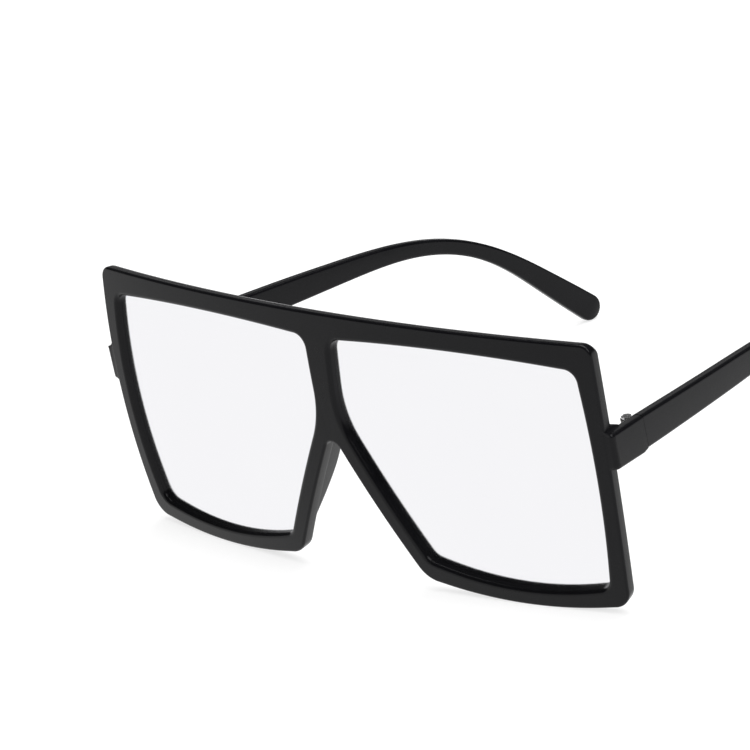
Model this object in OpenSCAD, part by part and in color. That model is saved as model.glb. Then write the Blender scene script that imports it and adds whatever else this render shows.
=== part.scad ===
// Oversized flat-topped sunglasses, standing open on a table.
// The front is one moulded sheet, curved about an upright axis. Its outline is drawn flat, as u along
// the curve and v up the sheet, and then bent. Depth runs from the front face towards the wearer.
// The whole part leans a little, so that both rims and both temple tips touch the table.

/* [Front outline] */
// Half width of the front at its top corner, along the curve
front_half_w = 73.2; // [68:0.1:78]
// Half width of the front at its bottom outer corner, along the curve
low_half_w = 71.1; // [66:0.1:76]
// Height of the front at its middle
front_h = 63.7; // [58:0.1:70]
// How much lower the top edge is at its ends
top_drop = 2.1; // [1:0.1:5]
// How far the outer sides bow out
side_bow = 1.4; // [0.2:0.1:2.5]
// How far the lower edges bow down
low_bow = 2.3; // [0.2:0.1:3]
// Radius of the top outer corners
top_corner_r = 3.2; // [2:0.1:6]
// Radius of the bottom outer corners
low_corner_r = 4.6; // [2:0.1:6]
// Radius of the corners beside the nose
nose_corner_r = 2.2; // [1.2:0.1:4]
// Distance of the corners beside the nose from the middle
nose_half_w = 18.8; // [17:0.1:21]
// Height of the corners beside the nose
nose_corner_v = 1.5; // [1:0.1:3]
// Height at which the two nose edges would meet
nose_apex_v = 32.9; // [31.5:0.1:35]
// Radius of the arch under the bridge
arch_r = 2.5; // [1.5:0.1:4]

/* [Lens openings] */
// Width of the rim above a lens, at the bridge
rim_top_w = 5.9; // [4:0.1:7]
// Width of the rim above a lens, at its outer end
rim_top_end_w = 5.5; // [4:0.1:7]
// Width of the rim at the outer side, at the top
rim_side_w = 5.1; // [4:0.1:7]
// Width of the rim at the outer side, at the bottom
rim_side_low_w = 4.8; // [4:0.1:7]
// Width of the rim below a lens, at its outer end
rim_low_w = 4.4; // [3.5:0.1:6]
// Width of the rim below a lens, at the nose
rim_low_nose_w = 4.4; // [3.5:0.1:6]
// Width of the rim beside the nose, measured level
rim_nose_w = 3.2; // [2.4:0.1:4.4]
// Half width of the bridge between the lenses, at the top
bridge_top_half_w = 4.4; // [3.8:0.1:6]
// Half width of the bridge between the lenses, at its waist
bridge_half_w = 3.3; // [2.8:0.1:4.5]
// Height of the waist of the bridge
waist_v = 39.5; // [38:0.1:43]
// How far the top edge of an opening bows up
open_top_bow = 1.7; // [0.2:0.1:2.5]
// How far the outer side of an opening bows out
open_side_bow = 1.8; // [0.2:0.1:2.5]
// How far the lower edge of an opening bows down
open_low_bow = 1.9; // [0.2:0.1:2.5]
// Radius of the corners of an opening
open_corner_r = 2.7; // [1.5:0.1:4]
// Radius of the soft corner of an opening beside the bridge
open_waist_r = 16; // [8:0.5:20]

/* [Front section] */
// Radius of the curve of the front
base_r = 334; // [240:2:420]
// Thickness of the front
front_t = 3.5; // [3.4:0.1:4.5]
// Rounding of the outer edges of the front, on the front face
edge_r = 0.6; // [0.3:0.05:0.9]
// Rounding of the outer edges of the front, on the back
back_edge_r = 0.8; // [0.3:0.05:1.2]
// Rounding of the top edge of the front, on the back
brow_edge_r = 1.6; // [0.3:0.05:1.8]
// Rounding from the front face into a lens opening
open_edge_r = 1.0; // [0.4:0.1:1.4]
// Rounding from the back face into a lens opening
open_back_r = 0.4; // [0.2:0.05:0.5]
// Depth of the lens face below the front face
lens_recess = 1.75; // [1.5:0.05:1.9]
// Depth of the groove that holds a lens
groove_deep = 1.2; // [0.8:0.1:1.4]

/* [Lenses] */
// Thickness of a lens
lens_t = 1.1; // [1:0.05:1.25]
// How far a lens reaches into its groove
lens_lip = 0.9; // [0.5:0.1:1]
// Play between a lens and the sides of its groove
lens_play = 0.05; // [0.02:0.01:0.1]

/* [Nose pads] */
// How far a nose pad stands out behind the front
pad_h = 3.6; // [2:0.1:5]
// Width of a nose pad
pad_w = 3.4; // [2.5:0.1:4]
// Height of the top end of a nose pad
pad_top_v = 27.5; // [24:0.5:28]
// Height of the bottom end of a nose pad
pad_low_v = 6.5; // [4:0.5:10]
// How far a nose pad spreads away from the nose
pad_spread = 1.2; // [0:0.1:2]

/* [Temples] */
// Length of a temple along its middle line
temple_len = 143; // [136:1:150]
// Inward angle of an open temple at its hinge
temple_splay = 6.1; // [5:0.1:7.5]
// How far a temple curls in over its length
temple_curl = 7.6; // [5:0.1:9]
// Downward angle of the straight part of a temple
temple_tilt = 6; // [3:0.1:8]
// Further angle that the ear bend turns down
ear_bend = 40.6; // [32:0.2:45]
// Height of the middle line of a temple at its hinge
hinge_v = 37; // [35:0.1:39]
// Height of a temple at its hinge
temple_h = 8; // [7.5:0.1:8.6]
// Height of a temple at 30 percent of its length
temple_mid_h = 6.6; // [5.6:0.1:7.4]
// Height of a temple where the ear bend starts, at 45 percent of its length
temple_bend_h = 5.2; // [4.6:0.1:5.8]
// Height of a temple at its slimmest, in the ear bend
temple_slim_h = 3.8; // [3.4:0.1:4.2]
// Height of the tip paddle
tip_h = 6.7; // [5:0.1:8]
// Thickness of a temple at its hinge
temple_t = 2.8; // [2.6:0.1:3.6]
// Thickness of a temple at its tip
tip_t = 2.5; // [2:0.1:3]
// Rounding of the edges of a temple
temple_edge_r = 0.8; // [0.4:0.05:1]

/* [End pieces] */
// Distance of a hinge axis in from the outer side of the rim
hinge_in = 3.4; // [2.8:0.1:4]
// Depth of a hinge axis behind the outer side of the rim
hinge_back = 12.2; // [11.4:0.1:13.4]
// How far an end piece stands out past the temple face
arm_proud = 0.15; // [0:0.05:0.3]
// How much lower an end piece is than the temple at the joint
arm_step = 0.5; // [0:0.05:0.8]
// Radius of the outer bend of an end piece
arm_corner_r = 1.2; // [0.6:0.1:1.8]
// How much the top of an end piece dips beside the rim
arm_dip = 0.1; // [0:0.1:1]
// Height of the hollow between the rim and an end piece
valley_r = 2.6; // [0.5:0.1:3]
// Gap between an end piece and an open temple
joint_gap = 0.16; // [0.1:0.02:0.3]

/* [Hinges] */
// Outer radius of a knuckle
knuckle_r = 1.4; // [1.2:0.05:1.45]
// Total height of the three knuckles
hinge_h = 5.9; // [5:0.1:6.6]
// Gap between two knuckles
knuckle_gap = 0.1; // [0.05:0.01:0.2]
// Distance of the hinge's middle above the middle line of the temple
hinge_lift = 0; // [-0.3:0.1:0.5]
// Thickness of a hinge leaf
leaf_t = 0.9; // [0.7:0.05:1.1]
// Length of the leaf in an end piece
front_leaf_len = 5.4; // [4:0.1:6]
// Length of the leaf in a temple
temple_leaf_len = 9; // [6:0.5:12]
// Radius of the screw's shank
screw_r = 0.7; // [0.5:0.05:0.8]
// Running clearance round the shank
screw_play = 0.04; // [0.02:0.01:0.08]
// Radius of the screw's head
screw_head_r = 1.15; // [1:0.05:1.2]
// Height of the screw's head
screw_head_h = 0.5; // [0.3:0.05:0.8]
// Width of the slot in the screw's head
slot_w = 0.35; // [0.2:0.05:0.5]
// Depth of the slot in the screw's head
slot_deep = 0.25; // [0.15:0.05:0.3]

/* [Hidden] */

// overrun of a cut past the face that it goes through
cut = 0.5;
// facets of the wide curve of the lenses
curve_fn = 720;
// facets of small round parts
round_fn = 48;
// distance of a hinge axis from the inner face of the temple
hinge_off = knuckle_r + knuckle_gap;
// distance along a temple from the hinge axis to the leaf plates
leaf_set = knuckle_r + 2 * knuckle_gap;

// number of steps round each corner and along each side of an opening and its rim
corner_n = 6;
side_ns = [14, 9, 12, 7, 6];
// steps round each small edge rounding
edge_n = 3;

// small vector helpers
function unit(p) = p / norm(p);
function left(p) = [-p.y, p.x];
function heading(d) = atan2(d.y, d.x);
function wrap(a) = a > 180 ? a - 360 : a < -180 ? a + 360 : a;
function smooth(x) = let (c = min(max(x, 0), 1)) c * c * (3 - 2 * c);
function mix(a, b, x) = a + (b - a) * x;

// A loop is a list of virtual corners [point, radius] with a bow for the side after each corner.
// Loops run clockwise as seen from the front, so the left side of the heading is outside.
function bow_dir(a, b, bow, s) = let (l = norm(b - a), e = (b - a) / l)
    unit(e + left(e) * (4 * bow * (1 - 2 * s) / l));
function bow_at(a, b, bow, s) = a + (b - a) * s + left(unit(b - a)) * (4 * bow * s * (1 - s));
function before(k, n) = (k + n - 1) % n;
function dir_in(vs, bows, i) = let (j = before(i, len(vs))) bow_dir(vs[j][0], vs[i][0], bows[j], 1);
function dir_out(vs, bows, i) = bow_dir(vs[i][0], vs[(i + 1) % len(vs)][0], bows[i], 0);
function turn_at(vs, bows, i) = wrap(heading(dir_out(vs, bows, i)) - heading(dir_in(vs, bows, i)));
function trim_at(vs, bows, i) = vs[i][1] * tan(abs(turn_at(vs, bows, i)) / 2);

// Stations [point, outward normal] round one corner, both tangent points included
function corner_stations(vs, bows, i, n) = let (
        d = dir_in(vs, bows, i), a = heading(d), t = turn_at(vs, bows, i),
        r = vs[i][1], s = t < 0 ? 1 : -1,
        c = vs[i][0] - d * trim_at(vs, bows, i) - left(d) * (s * r))
    [for (k = [0:n]) let (g = a + t * k / n, out = left([cos(g), sin(g)])) [c + out * (s * r), out]];

// Stations strictly between the ends of one side
function side_stations(vs, bows, i, n) = let (
        j = (i + 1) % len(vs), a = vs[i][0], b = vs[j][0], l = norm(b - a),
        s0 = trim_at(vs, bows, i) / l, s1 = 1 - trim_at(vs, bows, j) / l)
    [for (k = [1:n - 1]) let (s = mix(s0, s1, k / n))
        [bow_at(a, b, bows[i], s), left(bow_dir(a, b, bows[i], s))]];

// Virtual corners of an opening: top inner, top outer, bottom outer, bottom inner and waist
open_corners = [
    [[bridge_top_half_w, front_h - rim_top_w], open_corner_r],
    [[front_half_w - rim_side_w, front_h - top_drop - rim_top_end_w], open_corner_r],
    [[low_half_w - rim_side_low_w, rim_low_w], open_corner_r],
    [[nose_half_w + rim_nose_w, nose_corner_v + rim_low_nose_w], open_corner_r],
    [[bridge_half_w, waist_v], open_waist_r]];
open_bows = [open_top_bow, open_side_bow, open_low_bow, 0, 0];
open_stations = [for (i = [0:4]) each concat(
    corner_stations(open_corners, open_bows, i, corner_n),
    side_stations(open_corners, open_bows, i, side_ns[i]))];

// Virtual corners of one half of the outline: top middle, top outer, bottom outer, nose corner and arch
half_corners = [
    [[0, front_h], 0],
    [[front_half_w, front_h - top_drop], top_corner_r],
    [[low_half_w, 0], low_corner_r],
    [[nose_half_w, nose_corner_v], nose_corner_r],
    [[0, nose_apex_v], arch_r]];
half_bows = [top_drop / 4, side_bow, low_bow, 0, 0];
top_l = norm(half_corners[1][0] - half_corners[0][0]);
// spacing of the stations on both sides of the top middle point
top_step = 1.2 * brow_edge_r;
nose_dir = unit(half_corners[4][0] - half_corners[3][0]);
nose_turn = 90 - heading([nose_dir.y, -nose_dir.x]);
arch_c = [0, nose_apex_v - arch_r / sin(90 - nose_turn)];
arch_trim = arch_r * tan(nose_turn);
arch_top_v = arch_c.y + arch_r;
function seam_station(v) = [[0, v], [-1, 0]];
function top_station(s) = [bow_at(half_corners[0][0], half_corners[1][0], half_bows[0], s),
    s == 0 ? [0, 1] : left(bow_dir(half_corners[0][0], half_corners[1][0], half_bows[0], s))];
half_top = [for (k = [0:corner_n]) let (q = (k - corner_n / 2) * top_step)
    q < 0 ? seam_station(front_h + q) : top_station(q / top_l)];
half_top_side = let (s0 = corner_n / 2 * top_step / top_l,
        s1 = 1 - trim_at(half_corners, half_bows, 1) / top_l)
    [for (k = [1:side_ns[0] - 1]) top_station(mix(s0, s1, k / side_ns[0]))];
half_nose_side = let (a = half_corners[3][0] + nose_dir * trim_at(half_corners, half_bows, 3),
        b = half_corners[4][0] - nose_dir * arch_trim)
    [for (k = [1:side_ns[3] - 1]) [mix(a, b, k / side_ns[3]), left(nose_dir)]];
half_arch = [for (k = [0:corner_n]) let (g = mix(90 - nose_turn, 90, k / corner_n), out = [cos(g), sin(g)])
    [arch_c + out * arch_r, -out]];
half_seam = [for (k = [1:side_ns[4] - 1])
    seam_station(mix(arch_top_v, front_h - corner_n / 2 * top_step, k / side_ns[4]))];
function half_corner(i) = corner_stations(half_corners, half_bows, i, corner_n);
function half_side(i) = side_stations(half_corners, half_bows, i, side_ns[i]);
half_stations = concat(half_top, half_top_side, half_corner(1), half_side(1), half_corner(2), half_side(2),
    half_corner(3), half_nose_side, half_arch, half_seam);

// Bends a flat outline point into the curved sheet, at a depth behind the front face
function sheet(p, depth) = let (a = p.x / base_r * 180 / PI)
    [(base_r - depth) * sin(a), base_r - (base_r - depth) * cos(a), p.y];

// Section of a rim: [outward offset from the opening, depth], from the front face to the back
groove_front = lens_recess - lens_play;
groove_back = lens_recess + lens_t + lens_play;
inner_section = concat(
    [for (k = [0:edge_n]) let (a = 90 * k / edge_n)
        [open_edge_r * (1 - sin(a)), open_edge_r * (1 - cos(a))]],
    [[0, groove_front], [groove_deep, groove_front], [groove_deep, groove_back], [0, groove_back],
     [0, front_t - open_back_r], [open_back_r, front_t]]);
// the outer edge: [inset from the outline, depth], from the back to the front face, softer where it faces up
function outer_section(up) = let (r = mix(back_edge_r, brow_edge_r, smooth(up))) concat(
    [for (k = [0:edge_n]) let (a = 90 * k / edge_n)
        [r * (1 - sin(a)), front_t - r * (1 - cos(a))]],
    [for (k = [0:edge_n]) let (a = 90 * k / edge_n) [edge_r * (1 - cos(a)), edge_r * (1 - sin(a))]]);
section_n = len(inner_section) + len(outer_section(0));

// a station on the seam of the two halves stays in the middle plane
function rim_section(inner, outer) = let (flat = outer[1].x == -1 && outer[0].x == 0)
    concat([for (q = inner_section) sheet(inner[0] + inner[1] * q[0], q[1])],
           [for (q = outer_section(flat ? 0 : outer[1].y))
               sheet(outer[0] - outer[1] * (flat ? 0 : q[0]), q[1])]);
rim_points = [for (i = [0:len(open_stations) - 1]) each rim_section(open_stations[i], half_stations[i])];

// Faces of a closed ring of sections, and of a row of sections with flat ends
function ring_faces(rows, n) = [for (i = [0:rows - 1], j = [0:n - 1], h = [0, 1])
    let (a = i * n + j, b = i * n + (j + 1) % n, next = ((i + 1) % rows) * n,
        c = next + (j + 1) % n, d = next + j)
    h == 0 ? [a, c, b] : [a, d, c]];
function row_faces(rows, n) = concat(
    [for (i = [0:rows - 2], j = [0:n - 1], h = [0, 1])
        let (a = i * n + j, b = i * n + (j + 1) % n, c = (i + 1) * n + (j + 1) % n, d = (i + 1) * n + j)
        h == 0 ? [a, b, c] : [a, c, d]],
    [[for (j = [n - 1:-1:0]) j]], [[for (j = [0:n - 1]) (rows - 1) * n + j]]);

// A nose pad is a row of half-round sections along the nose edge, sunk a little into the back of the rim
pad_rows = 12;
pad_arc_n = 6;
pad_sink = 0.5;
pad_skew_share = 0.75;
pad_end_share = 0.5;
pad_gap = 0.25;
function pad_base(v) = half_corners[3][0] + nose_dir * ((v - nose_corner_v) / nose_dir.y);
function pad_section(x) = let (
        swell = pow(max(sin(180 * pow(x, pad_skew_share)), 0), 0.8),
        p = pad_base(mix(pad_top_v, pad_low_v, x)), out = left(nose_dir),
        w = pad_w / 2 * mix(pad_end_share, 1, swell), h = mix(-pad_sink / 2, pad_h, swell),
        c = -pad_gap - pad_w / 2)
    [for (k = [pad_arc_n + 1:-1:-1]) let (a = 180 * min(max(k, 0), pad_arc_n) / pad_arc_n,
            base = k < 0 || k > pad_arc_n, rise = base ? -pad_sink : h * sin(a))
        sheet(p + out * (c + w * cos(a) - pad_spread * max(rise, 0) / pad_h), front_t + rise)];
pad_points = [for (i = [0:pad_rows]) each pad_section(i / pad_rows)];

// A rounded upright rectangle between two plan points, as points round its edge
function upright(a, b, low, high, r) = let (
        e = unit(b - a), l = norm(b - a), q = min(r, l / 2.2, (high - low) / 2.2),
        corners = [[q, low + q, 180], [l - q, low + q, 270], [l - q, high - q, 0], [q, high - q, 90]])
    [for (c = corners, k = [0:edge_n])
        let (g = c[2] + 90 * k / edge_n, s = c[0] + q * cos(g), p = a + e * s) [p.x, p.y, c[1] + q * sin(g)]];

// The side of the rim at the height of the hinge, and the hinge axis placed from it
side_share = hinge_v / (front_h - top_drop);
side_u = mix(low_half_w, front_half_w, side_share) + 4 * side_bow * side_share * (1 - side_share);
rim_side = sheet([side_u, 0], 0);
hinge_x = rim_side.x - hinge_in;
hinge_w = rim_side.y + hinge_back;

// The hinge frame: x outwards from the axis, y back along the open temple
function from_hinge(p) = let (c = cos(temple_splay), s = sin(temple_splay))
    [hinge_x + p.x * c - p.y * s, hinge_w + p.x * s + p.y * c, p.z];
function to_hinge(p) = let (c = cos(temple_splay), s = sin(temple_splay),
        d = [p.x - hinge_x, p.y - hinge_w])
    [d.x * c + d.y * s, -d.x * s + d.y * c];

// The place on the side of the rim from which an end piece goes
rim_front = to_hinge(rim_side);
rim_back = to_hinge(sheet([side_u, 0], front_t));
temple_slope = tan(temple_tilt);

// An end piece is a corner, whose sections run from back to front, and a bar that runs back to the joint.
// The corner starts inside the rim and goes on in line with the front face.
arm_in_x = hinge_off;
arm_out_x = hinge_off + temple_t + arm_proud;
arm_root_x = rim_back.x - 3.3;
// the little that keeps two joined faces from lying in one plane
hair = 0.05;
arm_turn = side_u / base_r * 180 / PI - temple_splay;
function arm_front_y(x) = rim_front.y - hair + (x - rim_front.x) * tan(arm_turn);
arm_bend_x = arm_out_x - arm_corner_r;
arm_bend_y = arm_front_y(arm_bend_x + arm_corner_r * sin(arm_turn)) + arm_corner_r * cos(arm_turn);
arm_run = arm_bend_x + arm_corner_r * sin(arm_turn) - rim_front.x;
arm_hollow_r = arm_in_x - arm_root_x;
arm_hollow_y = rim_back.y + arm_hollow_r;
arm_end_y = -joint_gap / 2;
arm_n = 4;
// [x, front y, share of the flare]: inside the rim, along the front, and round the bend
arm_stations = concat(
    [for (k = [0:arm_n - 1]) let (x = mix(arm_root_x, arm_in_x, sin(90 * k / arm_n)))
        [x, arm_front_y(x), (x - arm_root_x) / (rim_front.x - arm_root_x)]],
    [for (k = [0:arm_n]) let (x = rim_front.x + arm_run * (1 - cos(90 * k / arm_n)))
        [x, arm_front_y(x), 1 - sin(90 * k / arm_n)]],
    [for (k = [1:arm_n]) let (g = mix(arm_turn, 90, k / arm_n))
        [arm_bend_x + arm_corner_r * sin(g), arm_bend_y - arm_corner_r * cos(g), 0]]);
function fall(r, d) = r - sqrt(r * r - d * d);
function arm_back_y(x) = rim_back.y + fall(arm_hollow_r, min(x, arm_in_x) - arm_root_x);
// how far the edge rounding draws the corner in near its outer face
function arm_round(x) = fall(temple_edge_r, max(x - arm_out_x + temple_edge_r, 0));
low_flare_share = 0.3;
function sloped(p) = from_hinge([p.x, p.y, p.z - p.y * temple_slope]);
// a section of an end piece; its top sinks by a length towards the point a
function arm_section(a, b, low, high, inset, sink) = let (
        v0 = hinge_v - temple_h / 2 - arm_step + low, v1 = hinge_v + temple_h / 2 + high)
    [for (p = upright(a, b, v0, v1, temple_edge_r))
        let (back = norm([p.x, p.y] - b) / norm(a - b), up = (p.z - v0) / (v1 - v0))
        sloped([p.x - inset, p.y, p.z - sink * back * up])];
corner_points = [for (q = arm_stations) each arm_section([q[0], arm_back_y(q[0])], [q[0], q[1]],
    inset_low(q), inset_high(q), hair / 2, valley_r * q[2])];
function inset_low(q) = arm_round(q[0]) - valley_r * low_flare_share * q[2] + hair / 2;
function inset_high(q) = valley_r * q[2] - arm_dip - arm_round(q[0]) - hair / 2;
// the bar: [share of the way from the bend to the joint, rise of the lower edge]
arm_rise = 0.35;
bar_rows = [[0, 0], [0.2, 0], [0.4, 0], [0.6, 0], [0.8, 0], [0.95, arm_rise / 3], [1, arm_rise]];
bar_start_y = arm_bend_y + hair;
bar_points = [for (q = bar_rows) let (y = mix(bar_start_y, arm_end_y, q[0]))
    each arm_section([arm_in_x, y], [arm_out_x, y], q[1], -arm_dip * (1 - smooth(q[0])), 0, 0)];

// The middle line of a temple: [distance along it, y, v, downward angle]
temple_n = 40;
bend_start_share = 0.375;
bend_end_share = 0.863;
square_share = 0.08;
tip_r = tip_h / 2;
body_len = temple_len - tip_r;
function temple_angle(s) = let (
        x = (s / temple_len - bend_start_share) / (bend_end_share - bend_start_share))
    temple_tilt + ear_bend * pow(smooth(x), 1.35);
function temple_walk(n, step) = [for (i = 0, y = 0, v = hinge_v; i <= n;
        y = y + step * cos(temple_angle((i + 0.5) * step)),
        v = v - step * sin(temple_angle((i + 0.5) * step)),
        i = i + 1) [i * step, y, v, temple_angle(i * step)]];
temple_line = temple_walk(temple_n, body_len / temple_n);
// heights along the temple, as shares of its length
height_shares = [0, 0.3, 0.45, 0.53, 0.62, 0.74, 0.82, 0.91, 1];
heights = [temple_h, temple_mid_h, temple_bend_h, mix(temple_bend_h, temple_slim_h, 0.6), temple_slim_h,
    temple_slim_h, mix(temple_slim_h, tip_h, 0.28), mix(temple_slim_h, tip_h, 0.7), tip_h];
function temple_height(s) = lookup(s / body_len,
    [for (i = [0:len(heights) - 1]) [height_shares[i], heights[i]]]);
function temple_thick(s) = mix(temple_t, tip_t, smooth(s / temple_len));
function temple_section(q, h, t) = let (
        a = q[3] * min(q[0] / (square_share * temple_len), 1),
        along = [cos(a), -sin(a)], up = [sin(a), cos(a)], inset = (temple_thick(q[0]) - t) / 2)
    [for (p = upright([hinge_off + inset, 0], [hinge_off + inset + t, 0], -h / 2, h / 2, temple_edge_r))
        from_hinge([p.x - temple_curl * pow(q[0] / temple_len, 2),
            q[1] + up.x * p.z - arm_end_y, q[2] + up.y * p.z])];
tip_rows = 6;
tip_last = temple_line[temple_n];
temple_points = concat(
    [for (q = temple_line) each temple_section(q, temple_height(q[0]), temple_thick(q[0]))],
    [for (k = [1:tip_rows]) let (g = 84 * k / tip_rows, s = tip_r * sin(g), a = tip_last[3])
        each temple_section([tip_last[0] + s, tip_last[1] + s * cos(a), tip_last[2] - s * sin(a), a],
            tip_h * cos(g), tip_t * mix(1, cos(g), 0.6))]);

// The lean at which rims and temple tips stand on one level, and the shift that centres the part
function turned(p, a) = [p.x, p.y * cos(a) - p.z * sin(a), p.y * sin(a) + p.z * cos(a)];
function lowest(points, a) = min([for (p = points) turned(p, a).z]);
function better_lean(a) = a - atan((lowest(temple_points, a) - lowest(rim_points, a)) / temple_len);
lean = better_lean(better_lean(better_lean(better_lean(0))));
all_ys = [for (p = concat(rim_points, temple_points)) turned(p, lean).y];
shift = [0, -(min(all_ys) + max(all_ys)) / 2, -lowest(rim_points, lean)];

module placed() {
    translate(shift) rotate([lean, 0, 0]) children();
}

module at_hinge() {
    translate([hinge_x, hinge_w, 0]) rotate([0, 0, temple_splay]) children();
}

module sides(side) {
    if (side > 0) children();
    else mirror([1, 0, 0]) children();
}

module half_front() {
    polyhedron(rim_points, ring_faces(len(open_stations), section_n), 10);
}

module nose_pad() {
    polyhedron(pad_points, row_faces(pad_rows + 1, pad_arc_n + 3), 10);
}

module end_piece() {
    polyhedron(corner_points, row_faces(len(arm_stations), 4 * (edge_n + 1)), 10);
    polyhedron(bar_points, row_faces(len(bar_rows), 4 * (edge_n + 1)), 10);
}

// Leaves lie flush with the inner faces: the length and height that each one fills, from end to end
leaf_play = 0.05;
leaf_cover = 1;
leaf_low_v = hinge_v - temple_h / 2 + leaf_cover;
front_leaf = [[-leaf_set - front_leaf_len, 0], [leaf_low_v, hinge_v + temple_h / 2 - leaf_cover]];
temple_leaf_y1 = leaf_set + temple_leaf_len;
temple_leaf = [[0, temple_leaf_y1], [leaf_low_v - leaf_cover / 2,
    hinge_v + temple_h / 2 - leaf_cover - temple_edge_r - temple_leaf_y1 * temple_slope / 2]];

// The pocket that a leaf is pressed into, open on the inner face
module leaf_pocket(leaf, y0, y1) {
    translate([hinge_off - cut, y0, leaf[1][0] - leaf_play])
        cube([cut + leaf_t + leaf_play, y1 - y0, leaf[1][1] - leaf[1][0] + 2 * leaf_play]);
}

module half_assembly() {
    difference() {
        union() {
            half_front();
            nose_pad();
            end_piece();
        }
        at_hinge() leaf_pocket(front_leaf, front_leaf[0][0] - leaf_play, cut);
    }
}

module front_frame() {
    color([0.11, 0.11, 0.12]) placed() union() {
        half_assembly();
        mirror([1, 0, 0]) half_assembly();
    }
}

// A lens follows the curve of the front and reaches into the groove all round
lens_outline = [for (q = open_stations)
    let (p = sheet(q[0] + q[1] * lens_lip, lens_recess + lens_t / 2)) [p.x, p.z]];

module lens(side) {
    color([0.9, 0.91, 0.93]) placed() sides(side) intersection() {
        translate([0, front_h, 0]) rotate([90, 0, 0]) linear_extrude(front_h) polygon(lens_outline);
        translate([0, base_r, 0]) difference() {
            cylinder(r = base_r - lens_recess, h = front_h, $fn = curve_fn);
            translate([0, 0, -cut])
                cylinder(r = base_r - lens_recess - lens_t, h = front_h + 2 * cut, $fn = curve_fn);
        }
    }
}

module temple(side) {
    color([0.11, 0.11, 0.12]) placed() sides(side) difference() {
        polyhedron(temple_points, row_faces(temple_n + 1 + tip_rows, 4 * (edge_n + 1)), 10);
        at_hinge() leaf_pocket(temple_leaf, -cut, temple_leaf[0][1] + leaf_play);
    }
}

// Knuckles are counted from the bottom: the outer two belong to the front, the middle one to the temple
knuckle_h = (hinge_h - 2 * knuckle_gap) / 3;
function knuckle_low(i) = hinge_v + hinge_lift - hinge_h / 2 + i * (knuckle_h + knuckle_gap);

// One knuckle, with an arm that reaches as high as its leaf and a leaf plate set back from the barrels
module knuckle(i, leaf, back) {
    low = knuckle_low(i);
    high = min(low + knuckle_h, leaf[1][1]);
    difference() {
        union() {
            translate([0, 0, low]) cylinder(r = knuckle_r, h = knuckle_h, $fn = round_fn);
            translate([0, back > 0 ? 0 : -leaf_set, low]) cube([hinge_off + leaf_t, leaf_set, high - low]);
        }
        translate([0, 0, low - cut])
            cylinder(r = screw_r + screw_play, h = knuckle_h + 2 * cut, $fn = round_fn);
    }
}

module leaf_plate(leaf, y0, y1) {
    translate([hinge_off, y0, leaf[1][0]]) cube([leaf_t, y1 - y0, leaf[1][1] - leaf[1][0]]);
}

module hinge_front(side) {
    color([0.75, 0.74, 0.7]) placed() sides(side) at_hinge() {
        knuckle(0, front_leaf, -1);
        knuckle(2, front_leaf, -1);
        leaf_plate(front_leaf, front_leaf[0][0], -leaf_set);
    }
}

module hinge_temple(side) {
    color([0.75, 0.74, 0.7]) placed() sides(side) at_hinge() {
        knuckle(1, temple_leaf, 1);
        leaf_plate(temple_leaf, leaf_set, temple_leaf[0][1]);
    }
}

module hinge_screw(side) {
    top = hinge_v + hinge_lift + hinge_h / 2;
    color([0.8, 0.8, 0.78]) placed() sides(side) at_hinge() difference() {
        union() {
            translate([0, 0, top - hinge_h])
                cylinder(r = screw_r, h = hinge_h + screw_head_h / 2, $fn = round_fn);
            translate([0, 0, top]) cylinder(r = screw_head_r, h = screw_head_h, $fn = round_fn);
        }
        translate([-screw_head_r - cut, -slot_w / 2, top + screw_head_h - slot_deep])
            cube([2 * (screw_head_r + cut), slot_w, slot_deep + cut]);
    }
}

front_frame();
lens(1);  // lens_left
lens(-1);  // lens_right
temple(1);  // temple_left
temple(-1);  // temple_right
hinge_front(1);  // hinge_front_left
hinge_front(-1);  // hinge_front_right
hinge_temple(1);  // hinge_temple_left
hinge_temple(-1);  // hinge_temple_right
hinge_screw(1);  // hinge_screw_left
hinge_screw(-1);  // hinge_screw_right
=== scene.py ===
# %% [markdown]
# # Oversized sunglasses, open on a pale table
#
# This lesson dresses a finished construction model of a pair of sunglasses. The construction
# holds eleven parts: one moulded front, two lenses, two temples, and a metal hinge of three
# pieces on each side. We load it as a fixed frame, make smooth visible pieces for the plastic
# and the lenses, give the hinges a metal finish, and light everything like a small product
# photograph.
#
# The construction is made of flat facets where its forms are free, and a glossy plastic shows
# every facet. A smoothing modifier would hide the facets, but it would round the corners too.
# So the moulded pieces are made again here, from the same sizes and with many more steps, and
# each of them stands for its part of the construction.

# %% Load the construction
import bisect
import math
import bmesh
import bpy
from mathutils import Matrix, Vector


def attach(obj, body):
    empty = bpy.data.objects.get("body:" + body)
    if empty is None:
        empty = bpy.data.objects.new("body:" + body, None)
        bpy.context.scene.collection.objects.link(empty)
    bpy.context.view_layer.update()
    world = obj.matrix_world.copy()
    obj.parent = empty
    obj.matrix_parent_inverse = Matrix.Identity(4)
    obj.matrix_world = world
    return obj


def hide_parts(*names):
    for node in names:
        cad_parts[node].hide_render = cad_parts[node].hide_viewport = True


MM = 0.001
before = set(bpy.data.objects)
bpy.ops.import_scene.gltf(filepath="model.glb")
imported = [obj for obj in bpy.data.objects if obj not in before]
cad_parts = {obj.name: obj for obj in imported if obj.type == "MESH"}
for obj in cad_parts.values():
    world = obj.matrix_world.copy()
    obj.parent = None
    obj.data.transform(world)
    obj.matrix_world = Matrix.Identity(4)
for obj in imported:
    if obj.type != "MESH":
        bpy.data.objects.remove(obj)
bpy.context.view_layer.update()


# %% [markdown]
# ## The camera
#
# A product photograph of this kind is taken from far away with a long lens, so that the two
# halves of the front look almost the same size. A camera can be set by eye in the viewport.
# Here it is placed by numbers instead: the point that it looks at, its bearing, how steeply
# it looks down, and its distance. Each of them can be corrected alone until every corner of
# the object falls in its place. A small roll tips the picture, which makes the glasses look
# lively.

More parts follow.
